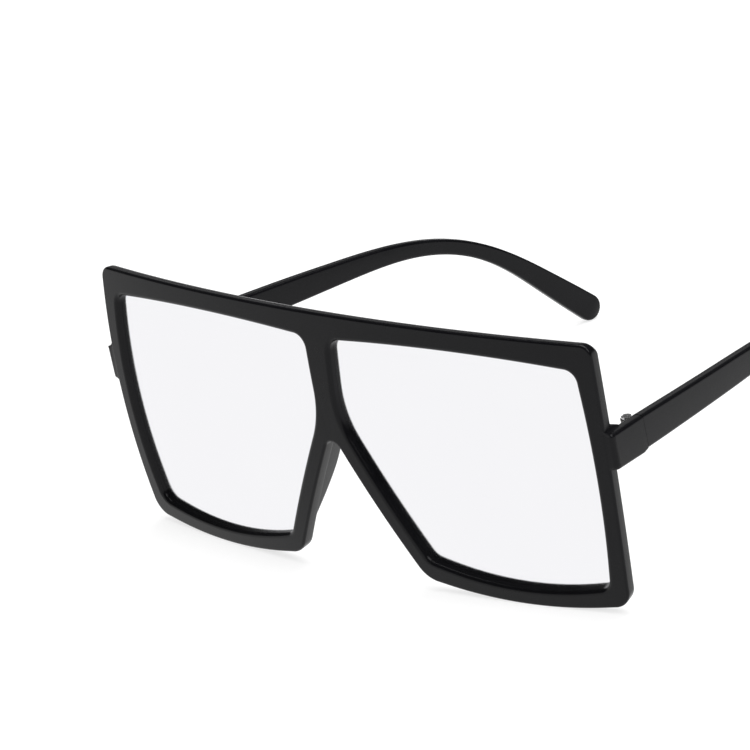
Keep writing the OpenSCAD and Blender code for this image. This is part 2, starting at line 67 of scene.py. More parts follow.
# %% Where the camera stands
AIM = Vector((-1.059, -56.481, 43.141)) * MM
BEARING, RISE, ROLL = math.radians(44.548), math.radians(20.753), math.radians(-9.245)
DISTANCE = 1157.32 * MM

back = Vector((math.sin(BEARING) * math.cos(RISE), -math.cos(BEARING) * math.cos(RISE),
               math.sin(RISE)))
level = Vector((math.cos(BEARING), math.sin(BEARING), 0))
rising = back.cross(level)
across = level * math.cos(ROLL) + rising * math.sin(ROLL)
upward = rising * math.cos(ROLL) - level * math.sin(ROLL)
print("camera stands", round(DISTANCE / MM), "mm away")

# %% Camera and lens
FRAME_PX, LENS_PX, SENSOR_MM = 750, 5200, 36
NEAR_CLIP, FAR_CLIP = 0.05, 20

camera_data = bpy.data.cameras.new("product_camera")
camera_data.lens = LENS_PX / FRAME_PX * SENSOR_MM
camera_data.sensor_width = SENSOR_MM
camera_data.sensor_fit = "HORIZONTAL"
camera_data.clip_start, camera_data.clip_end = NEAR_CLIP, FAR_CLIP
camera = bpy.data.objects.new("product_camera", camera_data)
bpy.context.collection.objects.link(camera)
facing = Matrix((across, upward, back)).transposed().to_4x4()
camera.matrix_world = Matrix.Translation(AIM + back * DISTANCE) @ facing
bpy.context.scene.camera = camera
print("its lens is", round(camera_data.lens), "mm long")

# %% [markdown]
# ## A small kit for node materials
#
# Every finish below is a short chain of nodes that ends in one Principled shader. Such a chain
# can be joined by hand in the shader editor, but in a script that takes many lines for each
# node. Three helpers save them: one starts a material and sets the plain numbers straight on
# the shader, one adds a node and joins it, and one makes a colour ramp.

# %% Material helpers
def start_finish(name, **plain):
    finish = bpy.data.materials.new(name)
    finish.use_nodes = True
    shader = finish.node_tree.nodes["Principled BSDF"]
    for socket, value in plain.items():
        shader.inputs[socket.replace("_", " ")].default_value = value
    return finish, finish.node_tree, shader


def add_node(tree, kind, settings=(), **inputs):
    node = tree.nodes.new(kind)
    for key, value in dict(settings).items():
        setattr(node, key, value)
    for socket, value in inputs.items():
        target = node.inputs[socket.replace("_", " ")]
        if isinstance(value, bpy.types.NodeSocket):
            tree.links.new(value, target)
        else:
            target.default_value = value
    return node


def ramp(tree, factor, *stops):
    node = add_node(tree, "ShaderNodeValToRGB", Fac=factor)
    edges = node.color_ramp.elements
    while len(edges) < len(stops):
        edges.new(0.5)
    for edge, (place, grey) in zip(edges, stops):
        edge.position = place
        edge.color = (grey, grey, grey, 1) if isinstance(grey, float) else (*grey, 1)
    return node.outputs["Color"]


print("material helpers ready")

# %% [markdown]
# ## Gloss black plastic
#
# The front and the temples are moulded in one black plastic and tumbled to a shine. A plain
# black glossy shader would come close, but tumbled plastic isn't a perfect mirror. It has a
# faint ripple from the mould, a very fine grain, and small places where handling has dulled
# it. Three noises of different scale do that. The ripple bends the highlights a little, the
# finest noise gives the grain, and the widest one changes the gloss and the black from place
# to place. The colour is almost nothing: what we see of black plastic is what it mirrors, and
# the specular level says how much that is.

# %% Black plastic
black_plastic, tree, shader = start_finish("gloss_black_plastic", Specular_IOR_Level=0.19)
place = add_node(tree, "ShaderNodeTexCoord").outputs["Object"]
ripple = add_node(tree, "ShaderNodeTexNoise", Vector=place, Scale=260.0,
                  Detail=2.0).outputs["Fac"]
grain = add_node(tree, "ShaderNodeTexNoise", Vector=place, Scale=5200.0,
                 Detail=3.0).outputs["Fac"]
handling = add_node(tree, "ShaderNodeTexNoise", Vector=place, Scale=85.0, Detail=6.0,
                    Roughness=0.62).outputs["Fac"]
gloss = ramp(tree, handling, (0.35, 0.17), (0.7, 0.30))
black = ramp(tree, handling, (0.2, (0.0030, 0.0030, 0.0040)), (0.8, (0.0048, 0.0048, 0.0060)))
tree.links.new(gloss, shader.inputs["Roughness"])
tree.links.new(black, shader.inputs["Base Color"])
low_bump = add_node(tree, "ShaderNodeBump", Height=ripple, Strength=0.05, Distance=0.0004)
fine_bump = add_node(tree, "ShaderNodeBump", Height=grain, Strength=0.035, Distance=0.00006,
                     Normal=low_bump.outputs["Normal"])
tree.links.new(fine_bump.outputs["Normal"], shader.inputs["Normal"])
print("black plastic:", len(tree.nodes), "nodes")

# %% [markdown]
# ## Silver mirror lenses
#
# The lenses have a silver mirror coating. In the pale room it shows the white table as an
# even, very light grey. Glass with a dark tint would have to be seen through and would show
# the temples behind it, which a mirror coating hides. So the finish is all mirror, with a
# slight blue tint. A little softness keeps the edge of the table out of the reflection, and a
# faint noise stands for the bloom of the coating.

# %% Mirror lens finish
mirror_lens, tree, shader = start_finish("silver_mirror_lens", Metallic=1.0)
place = add_node(tree, "ShaderNodeTexCoord").outputs["Object"]
bloom = add_node(tree, "ShaderNodeTexNoise", Vector=place, Scale=40.0, Detail=3.0).outputs["Fac"]
silver = ramp(tree, bloom, (0.3, (0.918, 0.916, 0.936)), (0.7, (0.928, 0.926, 0.946)))
tree.links.new(silver, shader.inputs["Base Color"])
tree.links.new(ramp(tree, bloom, (0.3, 0.10), (0.7, 0.14)), shader.inputs["Roughness"])
print("mirror lens:", len(tree.nodes), "nodes")

# %% [markdown]
# ## Hinge metal
#
# The hinges are small stamped leaves with a dark plating. Stamped metal shows fine lines along
# the strip, and its tone changes in small patches. An anisotropic shader could draw the lines,
# but real lines are also felt as a relief. So a noise is stretched along the strip and drives
# both the roughness and a bump. The screws are brighter, because they are turned, and turning
# leaves rings round their axis, which a wave in bands gives.

# %% Plated hinge
hinge_metal, tree, shader = start_finish("plated_hinge_metal", Metallic=1.0)
place = add_node(tree, "ShaderNodeTexCoord").outputs["Object"]
along = add_node(tree, "ShaderNodeMapping", Vector=place, Scale=(900.0, 120.0, 6000.0))
lines = add_node(tree, "ShaderNodeTexNoise", Vector=along.outputs["Vector"], Scale=1.0,
                 Detail=4.0).outputs["Fac"]
tone = add_node(tree, "ShaderNodeTexNoise", Vector=place, Scale=700.0, Detail=4.0).outputs["Fac"]
plating = ramp(tree, tone, (0.3, (0.065, 0.063, 0.06)), (0.7, (0.12, 0.117, 0.113)))
tree.links.new(plating, shader.inputs["Base Color"])
tree.links.new(ramp(tree, lines, (0.3, 0.24), (0.7, 0.42)), shader.inputs["Roughness"])
stamped = add_node(tree, "ShaderNodeBump", Height=lines, Strength=0.12, Distance=0.00003)
tree.links.new(stamped.outputs["Normal"], shader.inputs["Normal"])
print("plated hinge:", len(tree.nodes), "nodes")

# %% Turned screw
screw_steel, tree, shader = start_finish("turned_screw_steel", Metallic=1.0)
place = add_node(tree, "ShaderNodeTexCoord").outputs["Object"]
rings = add_node(tree, "ShaderNodeTexWave", {"wave_type": "BANDS", "bands_direction": "Z"},
                 Vector=place, Scale=2600.0, Distortion=0.6, Detail=2.0).outputs["Fac"]
speck = add_node(tree, "ShaderNodeTexNoise", Vector=place, Scale=2400.0,
                 Detail=3.0).outputs["Fac"]
steel = ramp(tree, speck, (0.25, (0.62, 0.62, 0.63)), (0.75, (0.8, 0.8, 0.8)))
tree.links.new(steel, shader.inputs["Base Color"])
tree.links.new(ramp(tree, speck, (0.3, 0.16), (0.7, 0.28)), shader.inputs["Roughness"])
turned = add_node(tree, "ShaderNodeBump", Height=rings, Strength=0.08, Distance=0.00002)
tree.links.new(turned.outputs["Normal"], shader.inputs["Normal"])
print("turned screw:", len(tree.nodes), "nodes")

# %% [markdown]
# ## Drawing the front flat
#
# A plastic front is cut or moulded as a nearly flat shape and curves round the face. A curve
# object with a bevel could follow its rims, but the rims change their width all the way round.
# So we draw the edges flat, with u along the front and v up, and bend them afterwards. Each
# edge is a loop of corners: a corner has a radius, and the side after it bows out by a small
# amount, because real frames have no dead straight sides. A station is a point of the loop
# with the direction that leads out of the material there.

# %% Helpers for a side that bows
def turned_left(d):
    return Vector((-d.y, d.x))


def side_heading(a, b, bow, s):
    run = b - a
    ahead = run.normalized()
    return (ahead + turned_left(ahead) * (4 * bow * (1 - 2 * s) / run.length)).normalized()


def side_point(a, b, bow, s):
    return a + (b - a) * s + turned_left((b - a).normalized()) * (4 * bow * s * (1 - s))


def side_station(a, b, bow, s):
    return side_point(a, b, bow, s), turned_left(side_heading(a, b, bow, s))


print("helpers for bowed sides ready")

# %% Helpers for a rounded corner
def corner_turn(corners, bows, i):
    before = i - 1 if i else len(corners) - 1
    arriving = side_heading(corners[before][0], corners[i][0], bows[before], 1)
    leaving = side_heading(corners[i][0], corners[(i + 1) % len(corners)][0], bows[i], 0)
    turn = math.atan2(leaving.y, leaving.x) - math.atan2(arriving.y, arriving.x)
    return arriving, (turn + math.pi) % (2 * math.pi) - math.pi


def corner_trim(corners, bows, i):
    return corners[i][1] * math.tan(abs(corner_turn(corners, bows, i)[1]) / 2)


def round_corner(corners, bows, i, steps):
    arriving, turn = corner_turn(corners, bows, i)
    corner, radius = corners[i]
    side = 1 if turn < 0 else -1
    centre = corner - arriving * corner_trim(corners, bows, i)
    centre -= turned_left(arriving) * (side * radius)
    start = math.atan2(arriving.y, arriving.x)
    stations = []
    for k in range(steps + 1):
        g = start + turn * k / steps
        outward = Vector((-math.sin(g), math.cos(g)))
        stations.append((centre + outward * (side * radius), outward))
    return stations


def along_side(corners, bows, i, steps):
    j = (i + 1) % len(corners)
    a, b = corners[i][0], corners[j][0]
    length = (b - a).length
    s0 = corner_trim(corners, bows, i) / length
    s1 = 1 - corner_trim(corners, bows, j) / length
    return [side_station(a, b, bows[i], s0 + (s1 - s0) * k / steps) for k in range(1, steps)]


print("helpers for rounded corners ready")

# %% [markdown]
# ## The opening and the outline
#
# One half of the front is a ring. Its inside is the lens opening, and its outside is half of
# the outline, closed by a straight seam down the middle of the bridge. The opening could be
# cut out of a plate with a boolean, but the edges of such a cut are hard to round evenly. So
# both loops get the same number of stations. Then station 12 of the opening lies across from
# station 12 of the outline, and a section of the rim can be set between each pair.

# %% Lens opening
CORNER_STEPS = 14
SIDE_STEPS = [40, 26, 34, 20, 16]
HALF_W, LOW_HALF_W, FRONT_H, TOP_DROP = 73.21, 71.33, 63.7, 1.52
NOSE_W, NOSE_V, APEX_V = 18.65, 1.47, 35.6
OPEN_R, BRIDGE_R = 3.27, 22.86

# from the top beside the bridge, clockwise: top outside, low outside, low beside the nose,
# and the wide curve beside the bridge
opening_corners = [
    (Vector((3.67, FRONT_H - 6.05)), OPEN_R),
    (Vector((HALF_W - 4.76, FRONT_H - TOP_DROP - 6.13)), OPEN_R),
    (Vector((LOW_HALF_W - 4.15, 4.14)), OPEN_R),
    (Vector((NOSE_W + 2.1, NOSE_V + 4.59)), OPEN_R),
    (Vector((2.85, 39.19)), BRIDGE_R)]
opening_bows = [1.66, 2.2, 2.98, 0.0, 0.0]
opening = []
for i, steps in enumerate(SIDE_STEPS):
    opening += round_corner(opening_corners, opening_bows, i, CORNER_STEPS)
    opening += along_side(opening_corners, opening_bows, i, steps)
print("opening stations:", len(opening))

# %% Corners of the outline
SIDE_BOW, LOW_BOW, ARCH_R, BROW_R = 1.77, 2.59, 2.4, 1.9

# the middle of the brow, top outside, low outside, low beside the nose, and the arch
outline_corners = [
    (Vector((0, FRONT_H)), 0.0),
    (Vector((HALF_W, FRONT_H - TOP_DROP)), 3.0),
    (Vector((LOW_HALF_W, 0)), 4.7),
    (Vector((NOSE_W, NOSE_V)), 6.6),
    (Vector((0, APEX_V)), ARCH_R)]
outline_bows = [TOP_DROP / 4, SIDE_BOW, LOW_BOW, 0.0, 0.0]
top_a, top_b = outline_corners[0][0], outline_corners[1][0]
top_length = (top_b - top_a).length
low_nose, arch = outline_corners[3][0], outline_corners[4][0]
nose_heading = (arch - low_nose).normalized()
nose_turn = math.pi / 2 - math.atan2(-nose_heading.x, nose_heading.y)
arch_centre = Vector((0, APEX_V - ARCH_R / math.sin(math.pi / 2 - nose_turn)))
arch_trim = ARCH_R * math.tan(nose_turn)
print("the arch is highest at", round(arch_centre.y + ARCH_R, 1), "mm")

# %% Half of the outline
def seam_station(v):
    return Vector((0, v)), Vector((-1, 0))


def top_station(s):
    if s == 0:
        return top_a.copy(), Vector((0, 1))
    return side_station(top_a, top_b, outline_bows[0], s)


# across from the first corner of the opening the stations go up the seam and out along the top
MIDDLE_REACH = 1.2 * BROW_R * 6
middle_step = MIDDLE_REACH / CORNER_STEPS
outline = []
for k in range(CORNER_STEPS + 1):
    q = (k - CORNER_STEPS / 2) * middle_step
    outline.append(seam_station(FRONT_H + q) if q < 0 else top_station(q / top_length))
s0 = CORNER_STEPS / 2 * middle_step / top_length
s1 = 1 - corner_trim(outline_corners, outline_bows, 1) / top_length
steps = SIDE_STEPS[0]
outline += [top_station(s0 + (s1 - s0) * k / steps) for k in range(1, steps)]
for i in (1, 2):
    outline += round_corner(outline_corners, outline_bows, i, CORNER_STEPS)
    outline += along_side(outline_corners, outline_bows, i, SIDE_STEPS[i])
outline += round_corner(outline_corners, outline_bows, 3, CORNER_STEPS)
print("outline stations as far as the nose:", len(outline))

# %% The outline's nose edge, arch and seam
nose_a = low_nose + nose_heading * corner_trim(outline_corners, outline_bows, 3)
nose_b = arch - nose_heading * arch_trim
steps = SIDE_STEPS[3]
outline += [(nose_a.lerp(nose_b, k / steps), turned_left(nose_heading)) for k in range(1, steps)]
for k in range(CORNER_STEPS + 1):
    g = (math.pi / 2 - nose_turn) + nose_turn * k / CORNER_STEPS
    outward = Vector((math.cos(g), math.sin(g)))
    outline.append((arch_centre + outward * ARCH_R, -outward))
arch_top, seam_top = arch_centre.y + ARCH_R, FRONT_H - CORNER_STEPS / 2 * middle_step
steps = SIDE_STEPS[4]
outline += [seam_station(arch_top + (seam_top - arch_top) * k / steps) for k in range(1, steps)]
print("outline stations:", len(outline))

# %% [markdown]
# ## Bending and standing
#
# Lenses are pieces of a large ball, and the front that holds them bends the same way: from
# side to side, and from top to bottom as well. A bend modifier turns a mesh about one axis at
# a time, so we bend with a function of our own. It measures depth from the front face towards
# the wearer, square to the bent face. The curve is placed so that the side of the rim meets
# the end piece where the construction has it.
#
# A second function leans the whole part and shifts it, because open glasses stand on the lower
# edges of their rims and on the tips of their temples. All pieces pass through it, so they
# stay together.

# %% From the drawing to the table
BASE_R, RISE_R, FRONT_T = 339.2, 274.0, 3.5
FOREMOST_V, HINGE_V = 26.8, 37.0
SIDE_X, SIDE_Y, SIDE_TURN = 73.109, 8.099, 0.2207
LEAN = math.radians(3.86024)
SHIFT = Vector((0, -72.3553, 1.33056))


def fall_back(v):
    return (v - FOREMOST_V) ** 2 / (2 * RISE_R)


SET_BACK = SIDE_Y - BASE_R + math.sqrt(BASE_R ** 2 - SIDE_X ** 2) - fall_back(HINGE_V)


def bent(u, v, depth):
    a, t = u / BASE_R, math.atan((v - FOREMOST_V) / RISE_R)
    face = Vector((BASE_R * math.sin(a), BASE_R * (1 - math.cos(a)) + fall_back(v) + SET_BACK, v))
    inward = Vector((-math.sin(a) * math.cos(t), math.cos(a) * math.cos(t), -math.sin(t)))
    return face + depth * inward


def on_table(p):
    c, s = math.cos(LEAN), math.sin(LEAN)
    return (Vector((p.x, p.y * c - p.z * s, p.y * s + p.z * c)) + SHIFT) * MM


print("the brow lies", round(fall_back(FRONT_H), 1), "mm further back than the foremost line")

# %% [markdown]
# ## The section of the rim
#
# Cut through, the rim is a flat bar with soft edges and a groove in which the lens sits. A
# bevel modifier would give all edges one radius. Moulded rims have several: the front edge
# into the opening is soft, because cloth and fingers rub it, the outer front edge is crisp,
# and the outer back edge is softest along the brow. So the section is drawn point by point.
# Each rounding has one more point close beside it on the flat, so that the flat faces stay
# flat when the shading is smoothed.
#
# Lenses are snapped in by hand, and no two sit quite alike. One sits a little deeper here.

# %% Small curves that the section needs
ARC_STEPS = 7


def smooth_step(x):
    x = min(max(x, 0.0), 1.0)
    return x * x * (3 - 2 * x)


def quarter():
    return [math.pi / 2 * k / ARC_STEPS for k in range(ARC_STEPS + 1)]


print("a quarter circle has", len(quarter()), "points")

# %% How deep each lens sits
LENS_T = 0.9
SEATS = ((1.96, 2.12), (1.42, 1.62))
SEAT_NOSE_U, SEAT_SIDE_U = 10, 70


def lens_depth(u, mirror):
    at_nose, at_side = SEATS[mirror]
    return at_nose + (at_side - at_nose) * (u - SEAT_NOSE_U) / (SEAT_SIDE_U - SEAT_NOSE_U)


print("lens faces at mid width, in mm:", [round(lens_depth(40, side), 2) for side in (0, 1)])

# %% Rim section
FOLLOW, GROOVE, CLEAR = 0.1, 1.2, 0.02
OPEN_EDGE_R, LIP_R, BACK_EDGE_R, FRONT_EDGE_R = 1.0, 0.3, 0.8, 0.6


def opening_side(seat):
    r, lip = OPEN_EDGE_R, LIP_R
    points = [(r + FOLLOW, 0)]
    points += [(r * (1 - math.sin(a)), r * (1 - math.cos(a))) for a in quarter()]
    points += [(0, seat - FOLLOW), (0, seat - CLEAR), (GROOVE, seat - CLEAR),
               (GROOVE, seat + LENS_T + CLEAR), (0, seat + LENS_T + CLEAR), (0, FRONT_T - lip)]
    points += [(lip * (1 - math.cos(a)), FRONT_T - lip * (1 - math.sin(a)))
               for a in quarter()[1:]]
    return points + [(lip + FOLLOW, FRONT_T)]


def outline_side(facing_up):
    r = BACK_EDGE_R + (BROW_R - BACK_EDGE_R) * smooth_step(facing_up)
    edge = FRONT_EDGE_R
    points = [(r + FOLLOW, FRONT_T)]
    points += [(r * (1 - math.sin(a)), FRONT_T - r * (1 - math.cos(a))) for a in quarter()]
    points += [(edge * (1 - math.cos(a)), edge * (1 - math.sin(a))) for a in quarter()]
    return points + [(edge + FOLLOW, 0)]


print("the section has", len(opening_side(1.7)) + len(outline_side(0)), "points")

# %% Rim slices
def rim_row(inner, outer, mirror):
    on_seam = outer[1].x == -1 and outer[0].x == 0
    seat = lens_depth(inner[0].x, mirror)
    row = [bent(*(inner[0] + inner[1] * o), d) for o, d in opening_side(seat)]
    for inset, d in outline_side(0 if on_seam else outer[1].y):
        row.append(bent(*(outer[0] - outer[1] * (0 if on_seam else inset)), d))
    return row


rim_rows = [[rim_row(a, b, mirror) for a, b in zip(opening, outline)] for mirror in (False, True)]
print("rim:", len(rim_rows[0]), "slices of", len(rim_rows[0][0]), "points on each side")

# %% [markdown]
# ## Skinning slices
#
# Every moulded piece here is a form that is led along a path, so it can be described by slices
# across that path. Skinning joins each slice to the next with four-sided faces, as planks are
# laid over the ribs of a boat. Blender's own tool for bridging loops has to guess which points
# belong together. Our helper knows it, because every slice has the same points in the same
# order. It skins a closed ring of slices or an open row with flat ends, and mirrors it to the
# other side if we ask.
#
# The second helper closes a piece: it turns the faces outwards, smooths all but the sharp
# edges, gives the finish, hangs the piece on the body that it rides on, and hides the part of
# the construction that it stands for.

# %% Skin a row of slices
def skin(bm, rows, ring=False, mirror=False):
    made = [[bm.verts.new(on_table(Vector((-p.x if mirror else p.x, p.y, p.z)))) for p in row]
            for row in rows]
    count, width = len(made), len(made[0])
    for i in range(count if ring else count - 1):
        for j in range(width):
            a, b = made[i], made[(i + 1) % count]
            quad = [a[j], a[(j + 1) % width], b[(j + 1) % width], b[j]]
            bm.faces.new(quad[::-1] if mirror else quad)
    if not ring:
        bm.faces.new(made[0][::1 if mirror else -1])
        bm.faces.new(made[-1][::-1 if mirror else 1])


print("skinning helper ready")

# %% Finish a piece
def finish_piece(bm, name, material, body, nodes, sharp=40):
    bmesh.ops.recalc_face_normals(bm, faces=bm.faces)
    for edge in bm.edges:
        soft = len(edge.link_faces) == 2 and edge.calc_face_angle(0) < math.radians(sharp)
        edge.smooth = soft
    for face in bm.faces:
        face.smooth = True
    mesh = bpy.data.meshes.new(name)
    bm.to_mesh(mesh)
    bm.free()
    mesh.materials.append(material)
    piece = bpy.data.objects.new(name, mesh)
    bpy.context.collection.objects.link(piece)
    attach(piece, body)
    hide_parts(*nodes)
    print(name, "has", len(mesh.polygons), "faces")
    return piece


print("finishing helper ready")

# %% [markdown]
# ## The nose pads
#
# Metal frames have loose pads on wires. On a moulded front the pads are part of it: each goes
# on from the nose edge of its rim towards the wearer's nose, as a ridge on the back of the rim.
# It starts right under the arch of the bridge, swells quickly and dies out lower down.
# It could be sculpted, but slices give it the same form on both sides. In each slice the nose
# side is flush with the rim, the crest is rounded, and the other side slopes gently back.

# %% Nose pad slices
PAD_W, PAD_H, PAD_TOP, PAD_LOW, CREST_R = 4.2, 4.2, 35.5, 9.5, 1.1
SWELL_EARLY, SWELL_FULL = 0.72, 0.9
END_SUNK, PAD_INSET, PAD_ROOT, CREST_FLOOR, SLOPE_FLOOR = 0.3, 0.04, 0.6, 0.5, 0.4
CREST_STEPS, SLOPE_STEPS, PAD_STEPS = 8, 12, 40


def pad_row(x):
    swell = max(math.sin(math.pi * x ** SWELL_EARLY), 0) ** SWELL_FULL
    height = -END_SUNK + PAD_H * swell
    v = PAD_TOP + (PAD_LOW - PAD_TOP) * x
    base = low_nose + nose_heading * ((v - NOSE_V) / nose_heading.y)
    section = [(-PAD_INSET, -PAD_ROOT)]
    for k in range(CREST_STEPS + 1):
        a = math.pi / 2 * k / CREST_STEPS
        section.append((-PAD_INSET - CREST_R * (1 - math.cos(a)),
                        max(height - CREST_R * (1 - math.sin(a)), -CREST_FLOOR)))
    for k in range(1, SLOPE_STEPS + 1):
        a = math.pi / 2 * k / SLOPE_STEPS
        section.append((-PAD_INSET - CREST_R - (PAD_W - CREST_R) * math.sin(a),
                        max(height, -SLOPE_FLOOR) * math.cos(a)))
    section.append((-PAD_W, -PAD_ROOT))
    places = [(base + turned_left(nose_heading) * o, rise) for o, rise in section]
    return [bent(place.x, place.y, FRONT_T + rise) for place, rise in places]


pad_rows = [pad_row(i / PAD_STEPS) for i in range(PAD_STEPS + 1)]
print("nose pad:", len(pad_rows), "slices of", len(pad_rows[0]), "points")

# %% [markdown]
# ## The end pieces
#
# At each side the front turns the corner and runs back to the hinge. This end piece goes on in
# line with the front face, bends round a small radius and becomes a bar. Above it a hollow
# leads up to the side of the rim and fades out towards the back.
#
# A box with bevels would show a seam against the rim. So the end piece is skinned from three
# runs of slices: one goes out along the front and round the corner, a small fillet fills the
# hollow, and the last goes back along the bar. They are drawn about the hinge, with x outwards
# and y back along the temple, because the temple must go on in the same lines.

# %% Drawing about the hinge
SPLAY, TILT = math.radians(6.1), math.radians(6)
HINGE_X, HINGE_W = SIDE_X - 3.4, SIDE_Y + 12.2


def from_hinge(x, y, z):
    c, s = math.cos(SPLAY), math.sin(SPLAY)
    return Vector((HINGE_X + x * c - y * s, HINGE_W + x * s + y * c, z))


def to_hinge(p):
    c, s = math.cos(SPLAY), math.sin(SPLAY)
    dx, dy = p.x - HINGE_X, p.y - HINGE_W
    return Vector((dx * c + dy * s, -dx * s + dy * c))


rim_front = to_hinge(Vector((SIDE_X, SIDE_Y, 0)))
rim_back = to_hinge(Vector((SIDE_X - FRONT_T * math.sin(SIDE_TURN),
                            SIDE_Y + FRONT_T * math.cos(SIDE_TURN), 0)))
print("the hinge lies", round(-rim_front.y, 1), "mm behind the face of the rim")

# %% A slice with rounded corners
def upright_row(a, b, low, high, r):
    run = b - a
    ahead, length = run.normalized(), run.length
    q = min(r, length / 2.2, (high - low) / 2.2)
    centres = ((q, low + q, 180), (length - q, low + q, 270),
               (length - q, high - q, 0), (q, high - q, 90))
    row = []
    for cx, cz, start in centres:
        for k in range(ARC_STEPS + 1):
            g = math.radians(start + 90 * k / ARC_STEPS)
            p = a + ahead * (cx + q * math.cos(g))
            row.append(Vector((p.x, p.y, cz + q * math.sin(g))))
    return row


print("slice helper ready")

# %% Sizes of the end piece
TEMPLE_H, TEMPLE_T, EDGE_R, HINGE_OFF = 8.0, 2.8, 0.8, 1.5
DIP, VALLEY, STEP_LOW, BEND_R = 0.1, 2.6, 0.5, 1.2
HAIR, SINK, ROOT_IN, ROOT_CUT, UNDER_SHARE = 0.012, 0.03, 3.3, 1.4, 0.3
out_x, root_x = HINGE_OFF + TEMPLE_T + 0.15, rim_back.x - ROOT_IN
face_turn = SIDE_TURN - SPLAY


def face_y(x):
    return rim_front.y + SINK + (x - rim_front.x) * math.tan(face_turn)


bend_x = out_x - BEND_R
bend_end_x = bend_x + BEND_R * math.sin(face_turn)
bend_y = face_y(bend_end_x) + BEND_R * math.cos(face_turn)
run_out = bend_end_x - rim_front.x
hollow_r = HINGE_OFF - root_x
hollow_y = rim_back.y + hollow_r
print("end piece stands out", round(out_x - rim_front.x, 2), "mm beyond the rim")

# %% Stations out along the front and round the corner
CORNER_RUN = 12


def corner_stations(steps):
    stations = []
    for k in range(steps):
        x = root_x + (HINGE_OFF - root_x) * math.sin(math.pi / 2 * k / steps)
        if root_x + ROOT_CUT < x < rim_front.x:
            stations.append((x, face_y(x), (x - root_x) / (rim_front.x - root_x)))
    for k in range(steps + 1):
        a = math.pi / 2 * k / steps
        x = rim_front.x + run_out * (1 - math.cos(a))
        stations.append((x, face_y(x), 1 - math.sin(a)))
    for k in range(1, steps + 1):
        g = face_turn + (math.pi / 2 - face_turn) * k / steps
        stations.append((bend_x + BEND_R * math.sin(g), bend_y - BEND_R * math.cos(g), 0.0))
    return stations


corner_places = corner_stations(CORNER_RUN)
print("stations round the corner:", len(corner_places))

# %% Slices on those stations
def corner_row(x, y, flare):
    d = min(x, HINGE_OFF) - root_x
    behind = hollow_y - math.sqrt(hollow_r ** 2 - d ** 2)
    e = max(x - out_x + EDGE_R, 0)
    drawn_in = EDGE_R - math.sqrt(max(EDGE_R ** 2 - e ** 2, 0))
    low = HINGE_V - TEMPLE_H / 2 - STEP_LOW + drawn_in - VALLEY * UNDER_SHARE * flare + HAIR
    high = HINGE_V + TEMPLE_H / 2 + VALLEY * flare - DIP - drawn_in - HAIR
    row = upright_row(Vector((x, behind)), Vector((x, y)), low, high, EDGE_R)
    for p in row:
        p.z -= VALLEY * flare * (p.y - y) / (behind - y) * (p.z - low) / (high - low)
        v = p.z - p.y * math.tan(TILT)
        fade = smooth_step((out_x - x) / (out_x - rim_front.x))
        p.y += (fall_back(v) - fall_back(HINGE_V)) * fade
    return [from_hinge(p.x - HAIR, p.y, p.z - p.y * math.tan(TILT)) for p in row]


corner_rows = [corner_row(x, y, flare) for x, y, flare in corner_places]
print("corner of the end piece:", len(corner_rows), "slices")

# %% Slices of the fillet in the hollow
FILLET_FROM, FILLET_SHORT, FILLET_STEPS, FILLET_ARC = 0.3, 0.5, 10, 12
FILLET_H, FILLET_FADE, FILLET_W = 0.95, 0.35, 0.8
FILLET_IN, FILLET_LAP, FILLET_ROOT, FILLET_SLANT = 1.2, 0.25, 0.6, 0.13


def fillet_row(share):
    depth = FILLET_FROM + (FRONT_T - FILLET_SHORT) * share
    size = VALLEY * (FILLET_H - FILLET_FADE * share)
    foot, y = HINGE_V + TEMPLE_H / 2 - DIP - HAIR, rim_front.y + depth
    side_x = rim_front.x - FILLET_LAP
    row = [(rim_front.x - FILLET_IN, foot - FILLET_ROOT), (rim_front.x - FILLET_IN, foot + size)]
    for i in range(FILLET_ARC + 1):
        a = math.pi / 2 * i / FILLET_ARC
        row.append((side_x + FILLET_W * size * (1 - math.cos(a)), foot + size * (1 - math.sin(a))))
    row.append((side_x + FILLET_W * size, foot - FILLET_ROOT))
    return [from_hinge(x - FILLET_SLANT * depth, y, z - y * math.tan(TILT)) for x, z in row]


fillet_rows = [fillet_row(k / FILLET_STEPS) for k in range(FILLET_STEPS + 1)]
print("fillet:", len(fillet_rows), "slices")

# %% Slices back along the bar
HALF_JOINT = 0.14
BAR_LIFT, LIFT_FROM, BAR_STEPS = 0.35, 0.86, 24


def bar_row(s):
    y = bend_y + HAIR + (-HALF_JOINT - bend_y - HAIR) * s
    lift = BAR_LIFT * smooth_step((s - LIFT_FROM) / (1 - LIFT_FROM))
    low = HINGE_V - TEMPLE_H / 2 - STEP_LOW + lift
    high = HINGE_V + TEMPLE_H / 2 - DIP * (1 - smooth_step(s))
    row = upright_row(Vector((HINGE_OFF, y)), Vector((out_x, y)), low, high, EDGE_R)
    return [from_hinge(p.x, p.y, p.z - p.y * math.tan(TILT)) for p in row]


bar_rows = [bar_row(k / BAR_STEPS) for k in range(BAR_STEPS + 1)]
print("bar:", len(bar_rows), "slices, ends", HALF_JOINT, "mm before the hinge")

# %% [markdown]
# ## The moulded front in one mesh
#
# The real front is one piece of plastic. We could join everything with booleans, but on curved
# faces that meet at a shallow angle they leave slivers that a gloss shows. Instead both halves
# of the rim are skinned, the wall on the seam is taken out, and the halves are welded in the
# middle, so that the bridge is one smooth face. The pads and end pieces overlap the rim a
# little, as a moulded piece has no gap there.

